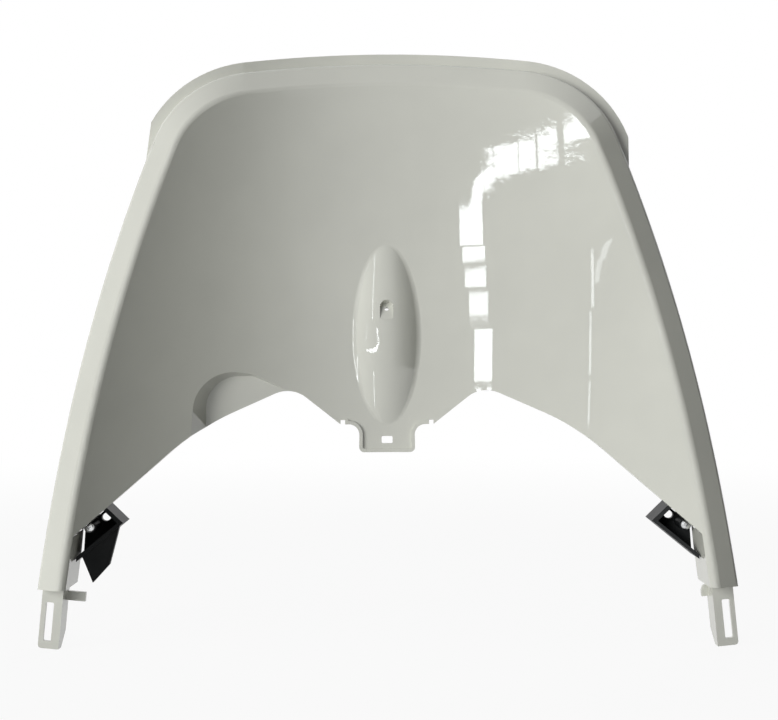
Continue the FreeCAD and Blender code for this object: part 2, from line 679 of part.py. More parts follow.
def tray(name, side, plate):
    """A moulded tray that hangs behind the arch edge, screwed against the back of the panel."""
    wall, gap, width, long = (size(a) for a in ("tray_wall", "tray_gap", "tray_width", "tray_length"))
    front = size("arch_return") + gap
    floor, skin = front + size("tray_depth"), size("wall")
    body = block(name, tray_edges(side, (-wall, -wall), (long, width + wall)), front, floor + wall)
    inside = tray_edges(side, (0, 0), (long + 9, width), 8 * size("leg_width"))
    combine(body, name + "_hollow", "Cut", [block(name + "_room", inside, None, floor)])
    ledge_edges = tray_edges(side, (-wall, width + gap), (long, width + wall))
    ledge = block(name + "_ledge", ledge_edges, skin, floor)
    clear = 2 * gap - size("tray_lug_clear")
    lug_start, lug_end = (-size("tray_lug_reach"), width + gap), (long, width + size("tray_lug"))
    lug_edges = tray_edges(side, lug_start, lug_end, clear)
    parts = [ledge, block(name + "_lug", lug_edges, skin, skin + wall)]
    if plate:
        parts.append(lower_plate(name + "_plate", side, front))
    combine(body, name + "_joined", "Fuse", parts)
    seat, upright = screw_seat(side), Rotation()
    boss = turned_body(name + "_boss", seat, upright)
    own_block(boss, name + "_boss", circle_edges(0, 0, size("tray_boss") / 2), 16, 0)
    combine(body, name + "_boss_added", "Fuse", [boss])
    x, z = tray_point(side, size("tray_hole_along"), size("tray_hole_across"))
    hole = block(name + "_hole", circle_edges(x, z, size("tray_hole") / 2))
    thread = turned_body(name + "_thread", seat, upright)
    own_block(thread, name + "_thread", circle_edges(0, 0, size("tray_screw_shank") / 2 + 0.1), 30, 5)
    combine(body, name + "_opening", "Cut", [hole, thread])
    return body


def screw(name, side):
    """A pan-head screw with a cross recess, its head square on the tray's boss."""
    seat, upright = screw_seat(side), Rotation()
    body = turned_body(name, seat, upright)
    head = size("tray_screw_head")
    own_block(body, name + "_head", circle_edges(0, 0, head / 2), 0, size("tray_screw_rise"))
    edges = enumerate(body.Shape.Edges, 1)
    rim = [f"Edge{i}" for i, e in edges if abs(e.Length - math.pi * head) < 0.01]
    rim.sort(key=lambda n: (middle(body.Shape.getElement(n)) - seat).Length)
    tip = body.Tip
    fillet = body.newObject("PartDesign::Fillet", name + "_crown")
    fillet.Base = (tip, rim[-1:])
    fillet.setExpression("Radius", "min(sizes.tray_screw_crown; 0.6 * sizes.tray_screw_rise)")
    doc.recompute()
    shank = circle_edges(0, 0, size("tray_screw_shank") / 2)
    own_block(body, name + "_shank", shank, size("tray_screw_length"), 0.5)
    recess = turned_body(name + "_recess", seat, upright)
    long, short = head / 3.4, 0.45
    for turned, (a, b) in (("a", (long, short)), ("b", (short, long))):
        bar = rounded_loop([(-a, -b, 0), (a, -b, 0), (a, b, 0), (-a, b, 0)])
        own_block(recess, name + "_slot_" + turned, bar, -size("tray_screw_rise") / 2, 4)
    combine(body, name + "_cross", "Cut", [recess])
    return body


wall = size("wall")
panel = panel_form("front_panel", 0.0)
hollow = panel_form("hollow", wall)
arch = block("arch", rounded_loop(arch_corners()))
arch_keep = block("arch_keep", grown(rounded_loop(arch_corners()), wall), back=size("arch_return"))
right_leg, left_leg = leg_keep("right_leg_keep", 1), leg_keep("left_leg_keep", -1)
pocket, pocket_keep = side_pocket("side_pocket", 0.0), side_pocket("side_pocket_keep", wall)
dimple = dimple_body("dimple", 0.0, 0.0)
dimple_keep = dimple_body("dimple_keep", wall, size("seat_thickness"))
combine(hollow, "hollow_keep", "Cut", [arch_keep, pocket_keep, dimple_keep, right_leg, left_leg])
turn_away(panel, "rim_back", size("rim_depth"), False)
combine(panel, "lip_added", "Fuse", [tab_lip("tab_lip")])
feet = [foot_trim("right_foot_trim", 1), foot_trim("left_foot_trim", -1)]
combine(panel, "hollowed", "Cut", [pocket, dimple, hollow, arch] + feet)
right_pin = [(1, -3, 0), (-3.4, -5, 0), (-4.6, -8, 0), (-4.6, -12, 0), (1, -12, 0)]
left_pin = [(1, -6.5, 0), (-12.4, -6.5, 0), (-12.4, -12.8, 0), (1, -12.8, 0)]
tongues = [tongue("right_tongue", 1, right_pin), tongue("left_tongue", -1, left_pin)]
combine(panel, "edges_added", "Fuse", [flange_body("flange")] + tongues)
slot_x, slot_h, slot_z = size("slot_width") / 2, size("slot_height") / 2, -size("slot_drop")
slot_corners = [(-slot_x, slot_z - slot_h, 1), (slot_x, slot_z - slot_h, 1)]
slot_corners += [(slot_x, slot_z + slot_h, 1), (-slot_x, slot_z + slot_h, 1)]
slot = block("tab_slot", rounded_loop(slot_corners))
hole = turned_body("screw_hole", Vector(0, 0, 0), Rotation(Vector(1, 0, 0), -size("dimple_tilt")))
own_block(hole, "screw_hole", circle_edges(0, 0, size("screw_hole") / 2), 4 * size("seat_thickness"), 2)
combine(panel, "openings", "Cut", [slot, hole])

nodes = [("front_panel", panel)]
for name, side, plate in (("left_tray", -1, True), ("right_tray", 1, False)):
    nodes.append((name, tray(name, side, plate)))
    nodes.append((name + "_screw", screw(name + "_screw", side)))

doc.recompute()
for thing in doc.Objects:
    if "Invalid" in thing.State or "Error" in thing.State:
        raise RuntimeError(thing.Label + " did not build")
for name, body in nodes:
    if body.Shape.isNull() or not body.Shape.isValid() or len(body.Shape.Solids) != 1:
        raise RuntimeError(name + " is not one sound solid")
for name, body in nodes:
    body.Label = name
    body.Shape.exportStep(f"parts/{name}.step")
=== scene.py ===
"""Scooter lower front panel in a pale studio: the lacquered panel, its two corner trays and their screws."""

import json
import logging
import math
from dataclasses import dataclass, field
from enum import Enum

import bmesh
import bpy
from mathutils import Matrix, Vector

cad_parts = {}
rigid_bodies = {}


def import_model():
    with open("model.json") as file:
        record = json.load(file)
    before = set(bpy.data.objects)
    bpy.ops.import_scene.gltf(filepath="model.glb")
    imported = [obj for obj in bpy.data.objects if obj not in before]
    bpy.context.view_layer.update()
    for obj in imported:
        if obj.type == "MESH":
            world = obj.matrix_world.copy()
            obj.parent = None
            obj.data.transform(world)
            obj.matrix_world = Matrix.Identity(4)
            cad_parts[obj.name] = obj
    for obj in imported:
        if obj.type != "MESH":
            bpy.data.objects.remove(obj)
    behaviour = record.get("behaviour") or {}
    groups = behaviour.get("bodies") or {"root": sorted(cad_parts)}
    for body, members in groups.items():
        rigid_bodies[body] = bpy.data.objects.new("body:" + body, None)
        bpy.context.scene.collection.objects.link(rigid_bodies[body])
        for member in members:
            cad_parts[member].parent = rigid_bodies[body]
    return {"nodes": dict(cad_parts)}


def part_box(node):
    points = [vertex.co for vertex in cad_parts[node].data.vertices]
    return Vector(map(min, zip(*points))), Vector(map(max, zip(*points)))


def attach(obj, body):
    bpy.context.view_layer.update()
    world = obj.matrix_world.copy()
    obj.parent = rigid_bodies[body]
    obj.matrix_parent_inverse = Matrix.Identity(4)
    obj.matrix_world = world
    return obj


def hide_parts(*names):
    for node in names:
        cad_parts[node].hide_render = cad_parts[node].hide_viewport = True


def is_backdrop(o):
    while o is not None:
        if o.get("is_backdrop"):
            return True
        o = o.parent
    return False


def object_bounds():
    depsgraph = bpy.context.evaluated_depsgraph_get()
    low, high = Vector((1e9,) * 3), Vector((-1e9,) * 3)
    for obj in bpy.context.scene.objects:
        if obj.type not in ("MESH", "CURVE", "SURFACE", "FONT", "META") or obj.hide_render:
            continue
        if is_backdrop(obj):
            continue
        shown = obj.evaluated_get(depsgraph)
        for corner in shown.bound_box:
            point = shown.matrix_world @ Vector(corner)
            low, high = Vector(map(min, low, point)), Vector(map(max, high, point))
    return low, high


log = logging.getLogger("front_panel")

MM = 0.001
PICTURE_WIDTH = 778.0
SENSOR_WIDTH = 36.0
FLOOR_GAP = 0.2 * MM
WELD = 0.001 * MM
CRISP_EDGE = 35.0
WINDOW_GLOW = 9.5
PLAIN_LIGHT = (1.0, 1.0, 1.0)

Colour = tuple[float, float, float, float]
Pair = tuple[float, float]


class Ray(Enum):
    """The kinds of ray that see the pale background instead of the studio's own light."""

    CAMERA = "Is Camera Ray"
    GLOSSY = "Is Glossy Ray"
    THROUGH = "Is Transmission Ray"


class Side(Enum):
    """A side of the panel, as seen from the front, with the word that its nodes' names start with."""

    LEFT = "left"
    RIGHT = "right"


class Channel:
    """A shader socket that carries one number over the surface and can be used in sums."""

    def __init__(self, recipe: "Recipe", socket: bpy.types.NodeSocket) -> None:
        """Wraps a socket.

        Args:
            recipe: the material's node recipe, which adds the maths nodes.
            socket: the output socket that carries the number.
        """
        self.recipe = recipe
        self.socket = socket

    def _maths(self, operation: str, *values: "Channel | float") -> "Channel":
        """Adds one Math node.

        Args:
            operation: the node's operation.
            values: its inputs in order.

        Returns:
            The node's result.
        """
        return self.recipe.node("ShaderNodeMath", {"operation": operation}, dict(enumerate(values)))

    def __add__(self, other: "Channel | float") -> "Channel":
        """This plus other."""
        return self._maths("ADD", self, other)

    __radd__ = __add__

    def __rsub__(self, other: float) -> "Channel":
        """Other less this."""
        return self._maths("SUBTRACT", other, self)

    def __mul__(self, other: "Channel | float") -> "Channel":
        """This times other."""
        return self._maths("MULTIPLY", self, other)

    __rmul__ = __mul__

    def __pow__(self, power: float) -> "Channel":
        """This to a power."""
        return self._maths("POWER", self, power)

    def at_most(self, ceiling: float) -> "Channel":
        """This, or ceiling where that is less."""
        return self._maths("MINIMUM", self, ceiling)

    def ramp(self, start: float, end: float) -> "Channel":
        """A smooth step.

        Args:
            start: the value that gives 0.
            end: the value that gives 1.

        Returns:
            The step, from 0 to 1.
        """
        settings = {"interpolation_type": "SMOOTHSTEP"}
        values = {"Value": self, "From Min": start, "From Max": end, "To Min": 0.0, "To Max": 1.0}
        return self.recipe.node("ShaderNodeMapRange", settings, values)


class Recipe:
    """The nodes of one material or of the world."""

    def __init__(self, tree: bpy.types.NodeTree) -> None:
        """Empties the tree.

        Args:
            tree: the node tree to fill.
        """
        self.tree = tree
        tree.nodes.clear()

    def node(
        self,
        kind: str,
        settings: dict[str, object] | None = None,
        values: dict[str | int, object] | None = None,
        output: str | int = 0,
    ) -> Channel:
        """Adds a node of any kind.

        Args:
            kind: the node's type name.
            settings: its properties, set first.
            values: its input sockets by name or number, each a Channel or a plain value.
            output: the output to give back.

        Returns:
            That output.
        """
        made = self.tree.nodes.new(kind)
        for name, value in (settings or {}).items():
            setattr(made, name, value)
        for name, value in (values or {}).items():
            socket = made.inputs[name]
            if isinstance(value, Channel):
                self.tree.links.new(value.socket, socket)
            else:
                socket.default_value = value
        return Channel(self, made.outputs[output])

    def place(self) -> Channel:
        """The point's place in the object's frame, in metres."""
        return self.node("ShaderNodeTexCoord", output="Object")

    def normal(self) -> Channel:
        """The surface's own normal, in the object's frame."""
        return self.node("ShaderNodeTexCoord", output="Normal")

    def pale_rays(self) -> Channel:
        """1 for the rays that see the pale background, and 0 for the rest."""
        rays = [self.node("ShaderNodeLightPath", output=ray.value) for ray in Ray]
        return (rays[0] + rays[1] + rays[2]).at_most(1.0)

    def part(self, vector: Channel, axis: str) -> Channel:
        """One component of a vector.

        Args:
            vector: the vector.
            axis: the component's name, X, Y or Z.

        Returns:
            That component.
        """
        return self.node("ShaderNodeSeparateXYZ", None, {"Vector": vector}, axis)

    def noise(self, scale: float, detail: float = 2.0, rough: float = 0.5) -> Channel:
        """Soft noise over the surface, in the object's frame.

        Args:
            scale: how many cells a metre.
            detail: how many finer layers.
            rough: how strong the finer layers are.

        Returns:
            The noise, about 0.5 in the middle.
        """
        values = {"Vector": self.place(), "Scale": scale, "Detail": detail, "Roughness": rough}
        return self.node("ShaderNodeTexNoise", {"noise_dimensions": "3D"}, values)

    def blend(self, factor: Channel, first: object, second: object) -> Channel:
        """Mixes two colours.

        Args:
            factor: 0 for the first colour and 1 for the second.
            first: a colour or a Channel that carries one.
            second: the other.

        Returns:
            The mixed colour.
        """
        return self.node("ShaderNodeMix", {"data_type": "RGBA"}, {0: factor, 6: first, 7: second}, 2)

    def bump(self, height: Channel, depth: float, over: Channel | None = None) -> Channel:
        """Raises the surface a little.

        Args:
            height: 0 for the low places and 1 for the high ones.
            depth: how far 1 stands above 0, in metres.
            over: a bump that this one lies on.

        Returns:
            The normal.
        """
        values: dict[str | int, object] = {"Height": height, "Distance": depth, "Strength": 1.0}
        if over is not None:
            values["Normal"] = over
        return self.node("ShaderNodeBump", None, values)

    def finish(self, shader: Channel, kind: str = "ShaderNodeOutputMaterial") -> None:
        """Joins a shader to the output node.

        Args:
            shader: the shader.
            kind: the output node's type name.
        """
        end = self.tree.nodes.new(kind)
        self.tree.links.new(shader.socket, end.inputs["Surface"])


def colour(red: float, green: float, blue: float) -> Colour:
    """A colour in linear light, with full alpha."""
    return (red, green, blue, 1.0)


WHITE = colour(1.0, 1.0, 1.0)


def material(name: str) -> tuple[bpy.types.Material, Recipe]:
    """A new material.

    Args:
        name: its name.

    Returns:
        The material and its empty recipe.
    """
    made = bpy.data.materials.new(name)
    made.use_nodes = True
    return made, Recipe(made.node_tree)


@dataclass(frozen=True)
class IvoryLacquer:
    """Gloss lacquer on the panel's face, and the bare moulding behind it.

    Each roughness is its least value and what the smears add. Each pair of marks is where a mask is 0 and 1.
    """

    face: Colour = colour(0.68, 0.685, 0.62)
    thin: Colour = colour(0.64, 0.645, 0.585)
    back: Colour = colour(0.56, 0.555, 0.50)
    speck: Colour = colour(0.35, 0.34, 0.30)
    cloud_cells: float = 9.0
    cloud_marks: Pair = (0.3, 0.7)
    speck_cells: float = 1500.0
    speck_marks: Pair = (0.78, 0.83)
    speck_strength: float = 0.25
    behind_marks: Pair = (0.12, 0.4)
    smear_cells: float = 46.0
    gloss: Pair = (0.012, 0.012)
    matt: Pair = (0.42, 0.14)
    coat: float = 0.5
    coat_roughness: float = 0.02
    ior: float = 1.5
    wave_cells: float = 24.0
    wave_depth: float = 0.02 * MM
    peel_cells: float = 260.0
    peel_depth: float = 0.014 * MM
    peel_least: float = 0.16
    peel_marks: Pair = (0.05, 0.12)
    grain_cells: float = 2600.0
    grain_depth: float = 0.03 * MM

    def make(self) -> bpy.types.Material:
        """The finished material."""
        made, mix = material("ivory_lacquer")
        behind = mix.part(mix.normal(), "Y").ramp(*self.behind_marks)
        in_front = 1.0 - behind
        cloud = mix.noise(self.cloud_cells, detail=3.0, rough=0.6).ramp(*self.cloud_marks)
        specks = mix.noise(self.speck_cells, detail=1.0).ramp(*self.speck_marks)
        face = mix.blend(specks * self.speck_strength, mix.blend(cloud, self.face, self.thin), self.speck)
        smear = mix.noise(self.smear_cells, detail=4.0, rough=0.65)
        gloss = self.gloss[0] + self.gloss[1] * smear
        matt = self.matt[0] + self.matt[1] * smear
        wave = mix.bump(mix.noise(self.wave_cells, detail=1.0), self.wave_depth)
        upper = mix.part(mix.place(), "Z").ramp(*self.peel_marks)
        strength = self.peel_least + (1.0 - self.peel_least) * upper
        peel = mix.bump(mix.noise(self.peel_cells) * strength, self.peel_depth, over=wave)
        values = {
            "Base Color": mix.blend(behind, face, self.back),
            "Roughness": gloss * in_front + matt * behind,
            "Coat Weight": in_front * self.coat,
            "Coat Roughness": self.coat_roughness,
            "Coat IOR": self.ior,
            "IOR": self.ior,
            "Normal": mix.bump(mix.noise(self.grain_cells) * behind, self.grain_depth, over=peel),
        }
        mix.finish(mix.node("ShaderNodeBsdfPrincipled", None, values))
        return made


@dataclass(frozen=True)
class BlackMoulding:
    """Satin black moulded plastic with a fine spark grain and a little dust."""

    base: Colour = colour(0.007, 0.008, 0.0085)
    dusty: Colour = colour(0.030, 0.032, 0.034)
    dust_cells: float = 120.0
    dust_marks: Pair = (0.35, 0.75)
    upward_marks: Pair = (0.1, 0.9)
    rub_cells: float = 60.0
    roughness: Pair = (0.34, 0.2)
    ior: float = 1.36
    grain_cells: float = 2200.0
    grain_depth: float = 0.03 * MM

    def make(self) -> bpy.types.Material:
        """The finished material."""
        made, mix = material("black_moulding")
        upward = mix.part(mix.normal(), "Z").ramp(*self.upward_marks)
        dust = upward * mix.noise(self.dust_cells, detail=4.0, rough=0.6).ramp(*self.dust_marks)
        rub = mix.noise(self.rub_cells, detail=5.0, rough=0.7)
        values = {
            "Base Color": mix.blend(dust, self.base, self.dusty),
            "Roughness": self.roughness[0] + self.roughness[1] * rub,
            "IOR": self.ior,
            "Normal": mix.bump(mix.noise(self.grain_cells, detail=3.0), self.grain_depth),
        }
        mix.finish(mix.node("ShaderNodeBsdfPrincipled", None, values))
        return made


@dataclass(frozen=True)
class ZincPlate:
    """Bright zinc plate on a small screw, a little clouded."""

    bright: Colour = colour(0.78, 0.79, 0.80)
    dull: Colour = colour(0.55, 0.56, 0.55)
    cloud_cells: float = 700.0
    cloud_marks: Pair = (0.35, 0.7)
    roughness: Pair = (0.18, 0.2)
    grain_cells: float = 5000.0
    grain_depth: float = 0.006 * MM

    def make(self) -> bpy.types.Material:
        """The finished material."""
        made, mix = material("zinc_plate")
        cloud = mix.noise(self.cloud_cells, detail=4.0, rough=0.6)
        values = {
            "Base Color": mix.blend(cloud.ramp(*self.cloud_marks), self.bright, self.dull),
            "Metallic": 1.0,
            "Roughness": self.roughness[0] + self.roughness[1] * cloud,
            "Normal": mix.bump(mix.noise(self.grain_cells), self.grain_depth),
        }
        mix.finish(mix.node("ShaderNodeBsdfPrincipled", None, values))
        return made


@dataclass(frozen=True)
class StudioPaper:
    """White floor paper, which the camera sees nearly white and which keeps the shadow.

    The lift is how much of it glows near the panel. It grows from the near radius to the far one.
    """

    tone: Colour = colour(0.46, 0.46, 0.46)
    dull: Colour = colour(0.44, 0.44, 0.44)
    cloud_cells: float = 2.0
    lift: float = 0.93
    near: float = 0.35
    far: float = 1.6

    def make(self) -> bpy.types.Material:
        """The finished material."""
        made, mix = material("studio_paper")
        tone = mix.blend(mix.noise(self.cloud_cells), self.tone, self.dull)
        paper = mix.node("ShaderNodeBsdfDiffuse", None, {"Color": tone, "Roughness": 0.0})
        glow = mix.node("ShaderNodeEmission", None, {"Color": WHITE, "Strength": 1.0})
        place = mix.place()
        away = (mix.part(place, "X") ** 2.0 + mix.part(place, "Y") ** 2.0) ** 0.5
        lift = self.lift + (1.0 - self.lift) * away.ramp(self.near, self.far)
        mix.finish(mix.node("ShaderNodeMixShader", None, {0: mix.pale_rays() * lift, 1: paper, 2: glow}))
        return made


@dataclass(frozen=True)
class DarkCloth:
    """Black cloth on the card beside the camera, which pales towards the middle of the room."""

    tone: Colour = colour(0.02, 0.02, 0.02)
    pale_at: float = 0.25
    dark_at: float = 1.45

    def make(self) -> bpy.types.Material:
        """The finished material."""
        made, mix = material("dark_cloth")
        cloth = mix.node("ShaderNodeBsdfDiffuse", None, {"Color": self.tone, "Roughness": 1.0})
        pale = mix.node("ShaderNodeEmission", None, {"Color": WHITE, "Strength": 1.0})
        fade = mix.part(mix.place(), "X").ramp(self.dark_at, self.pale_at)
        mix.finish(mix.node("ShaderNodeMixShader", None, {0: mix.pale_rays() * fade, 1: cloth, 2: pale}))
        return made


@dataclass
class FrontPanel:
    """The moulded panel itself, whose solid already has its form."""

    node: str = "front_panel"
    finish: IvoryLacquer = field(default_factory=IvoryLacquer)

    def dress(self, nodes: dict[str, bpy.types.Object]) -> None:
        """Gives the panel its lacquer.

        Args:
            nodes: the frame's solids by name.
        """
        paint(nodes[self.node], self.finish.make())
        log.info("dressed %s", self.node)


@dataclass
class CornerTray:
    """One black tray in a lower corner, whose solid already has its form."""

    side: Side

    @property
    def node(self) -> str:
        """The tray's node name."""
        return f"{self.side.value}_tray"

    def dress(self, nodes: dict[str, bpy.types.Object], finish: bpy.types.Material) -> None:
        """Gives the tray its finish.

        Args:
            nodes: the frame's solids by name.
            finish: the material.
        """
        paint(nodes[self.node], finish)
        log.info("dressed %s", self.node)


def paint(piece: bpy.types.Object, finish: bpy.types.Material) -> None:
    """Puts one material on every face of a piece.

    Args:
        piece: the object.
        finish: the material.
    """
    if not piece.material_slots:
        piece.data.materials.append(finish)
    for slot in piece.material_slots:
        slot.material = finish


@dataclass
class TrayScrew:
    """A small pan-head screw with a cross recess and a cut thread.

    It stands for the solid, whose shank is plain.
    """

    side: Side
    head_radius: float = 3.4 * MM
    head_rise: float = 2.4 * MM
    rim_share: float = 0.35
    dome_turns: tuple[float, ...] = (15.0, 30.0, 45.0, 60.0, 75.0)
    dome_power: float = 0.6
    head_facets: int = 32
    shank_radius: float = 1.15 * MM
    tip_share: float = 0.25
    thread_radius: float = 1.5 * MM
    thread_facets: int = 24
    pitch: float = 1.1 * MM
    plain_end: float = 1.6 * MM
    recess_width: float = 0.8 * MM
    recess_reach: float = 1.9 * MM
    recess_depth: float = 1.5 * MM
    recess_taper: Pair = (0.35, 0.7)

    @property
    def node(self) -> str:
        """The screw's node name."""
        return f"{self.side.value}_tray_screw"

    def head(self) -> bmesh.types.BMesh:
        """The domed head, standing on the origin with its top towards +Z."""
        rim = self.rim_share * self.head_rise
        line = [(0.0, 0.0), (self.head_radius, 0.0), (self.head_radius, rim)]
        for turn in self.dome_turns:
            angle = math.radians(turn)
            across = self.head_radius * math.cos(angle) ** self.dome_power
            line.append((across, rim + (self.head_rise - rim) * math.sin(angle)))
        line.append((0.0, self.head_rise))
        mesh = spun(line, 1, self.head_facets)
        bmesh.ops.recalc_face_normals(mesh, faces=mesh.faces)
        return mesh

    def recess(self) -> bmesh.types.BMesh:
        """The cross that the driver fits, tapered towards its tip."""
        mesh = bmesh.new()
        for turn in (0.0, 90.0):
            made = bmesh.ops.create_cube(mesh, size=1.0)["verts"]
            size = Vector((2.0 * self.recess_reach, self.recess_width, 2.0 * self.recess_depth))
            bmesh.ops.scale(mesh, vec=size, verts=made)
            tip = [v for v in made if v.co.z < 0.0]
            bmesh.ops.scale(mesh, vec=Vector((*self.recess_taper, 1.0)), verts=tip)
            spin = Matrix.Rotation(math.radians(turn), 4, "Z")
            bmesh.ops.rotate(mesh, cent=Vector(), matrix=spin, verts=made)
        bmesh.ops.translate(mesh, vec=Vector((0.0, 0.0, self.head_rise)), verts=mesh.verts)
        return mesh

    def thread(self, length: float) -> bmesh.types.BMesh:
        """The cut thread below the head, drawn out as one helix.

        Args:
            length: the shank's length.

        Returns:
            The thread's mesh.
        """
        crest = (self.thread_radius, -0.5 * self.pitch)
        line = [(self.shank_radius, 0.0), crest, (self.shank_radius, -self.pitch)]
        turns = int(max(2.0, (length - self.plain_end) / self.pitch))
        mesh = spun(line, turns, self.thread_facets, self.pitch)
        core = bmesh.ops.create_cone(
            mesh,
            cap_ends=True,
            segments=self.thread_facets,
            radius1=self.tip_share * self.shank_radius,
            radius2=self.shank_radius,
            depth=length,
        )["verts"]
        bmesh.ops.translate(mesh, vec=Vector((0.0, 0.0, -0.5 * length)), verts=core)
        bmesh.ops.recalc_face_normals(mesh, faces=mesh.faces)
        return mesh

    def build(self, finish: bpy.types.Material) -> bpy.types.Object:
        """Makes the screw where its solid is.

        Args:
            finish: the material.

        Returns:
            The screw.
        """
        low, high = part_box(self.node)
        length = (high.y - low.y) - self.head_rise
        seat = Vector(((low.x + high.x) / 2.0, low.y + self.head_rise, (low.z + high.z) / 2.0))
        head = object_from(self.head(), f"{self.node}_head")
        cutter = object_from(self.recess(), f"{self.node}_recess")
        carve(head, cutter)
        shank = object_from(self.thread(length), f"{self.node}_thread")
        piece = join(f"{self.node}_turned", [head, shank])
        turn = Matrix.Translation(seat) @ Matrix.Rotation(math.radians(90.0), 4, "X")
        piece.data.transform(turn)
        smooth(piece, CRISP_EDGE)
        paint(piece, finish)
        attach(piece, "root")
        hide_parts(self.node)
        log.info("built %s, shank %.1f mm", piece.name, length / MM)
        return piece


def spun(line: list[Pair], turns: int, facets: int, pitch: float = 0.0) -> bmesh.types.BMesh:
    """Turns a line about Z into a surface.

    Args:
        line: the line's points, each as its radius and height.
        turns: how many turns it makes.
        facets: how many steps one turn has.
        pitch: how far it goes down in one turn.

    Returns:
        The surface.
    """
    mesh = bmesh.new()
    verts = [mesh.verts.new(Vector((across, 0.0, up))) for across, up in line]
    edges = [mesh.edges.new(pair) for pair in zip(verts, verts[1:])]
    bmesh.ops.spin(
        mesh,
        geom=verts + edges,
        cent=Vector(),
        axis=Vector((0.0, 0.0, 1.0)),
        dvec=Vector((0.0, 0.0, -pitch / facets)),
        angle=2.0 * math.pi * turns,
        steps=facets * turns,
        use_merge=pitch == 0.0,
    )
    bmesh.ops.remove_doubles(mesh, verts=mesh.verts, dist=WELD)
    return mesh


def object_from(mesh: bmesh.types.BMesh, name: str) -> bpy.types.Object:
    """Turns a bmesh into a linked object at the origin.

    Args:
        mesh: the bmesh, which is freed.
        name: the object's name.

    Returns:
        The object.
    """
    data = bpy.data.meshes.new(name)
    mesh.to_mesh(data)
    mesh.free()
    made = bpy.data.objects.new(name, data)
    bpy.context.scene.collection.objects.link(made)
    return made


def bake(piece: bpy.types.Object) -> None:
    """Applies a piece's modifiers to its mesh.

    Args:
        piece: the object.
    """
    seen = piece.evaluated_get(bpy.context.evaluated_depsgraph_get())
    data = bpy.data.meshes.new_from_object(seen)
    piece.modifiers.clear()
    piece.data = data


def carve(piece: bpy.types.Object, cutter: bpy.types.Object) -> None:
    """Cuts one piece by another and drops the cutter.

    Args:
        piece: what is cut.
        cutter: the shape that is taken away.
    """
    cut = piece.modifiers.new("cut", "BOOLEAN")
    cut.operation = "DIFFERENCE"
    cut.solver = "EXACT"
    cut.use_self = True
    cut.object = cutter
    bake(piece)
    bpy.data.objects.remove(cutter)


def join(name: str, pieces: list[bpy.types.Object]) -> bpy.types.Object:
    """Makes one object from several.

    Args:
        name: the new object's name.
        pieces: the objects, which are dropped.

    Returns:
        The joined object.
    """
    whole = bmesh.new()
    for piece in pieces:
        whole.from_mesh(piece.data)
        bpy.data.objects.remove(piece)
    return object_from(whole, name)


def smooth(piece: bpy.types.Object, degrees: float) -> None:
    """Shades a piece smooth, with edges sharper than an angle kept crisp.

    Args:
        piece: the object.
        degrees: the angle.
    """
    mesh = bmesh.new()
    mesh.from_mesh(piece.data)
    for face in mesh.faces:
        face.smooth = True
    for edge in mesh.edges:
        edge.smooth = len(edge.link_faces) == 2 and edge.calc_face_angle(0.0) < math.radians(degrees)
    mesh.to_mesh(piece.data)
    mesh.free()


@dataclass
class Pane:
    """A bright pane of the studio's window, or a soft lamp.

    The sizes are in metres. The glow is its brightness, whatever its size. The tilt, in radians, is about the
    line to the panel. The lacquer reflects the pane only if it is shown.
    """

    name: str
    place: Vector
    width: float
    height: float
    glow: float
    tint: tuple[float, float, float] = (0.93, 0.97, 1.0)
    tilt: float = 0.0
    shown: bool = True

    def hang(self, aim: Vector) -> bpy.types.Object:
        """Hangs the pane as an area lamp that faces a point.

        Args:
            aim: the point that it faces.

        Returns:
            The lamp's object.
        """
        lamp = bpy.data.lights.new(self.name, "AREA")
        lamp.shape = "RECTANGLE"
        lamp.size = self.width
        lamp.size_y = self.height
        lamp.color = self.tint
        lamp.energy = self.glow * self.width * self.height * math.pi
        made = bpy.data.objects.new(self.name, lamp)
        bpy.context.scene.collection.objects.link(made)
        turn = (aim - self.place).to_track_quat("-Z", "Y").to_matrix().to_4x4()
        made.matrix_world = Matrix.Translation(self.place) @ turn @ Matrix.Rotation(self.tilt, 4, "Z")
        made.visible_glossy = self.shown
        return made


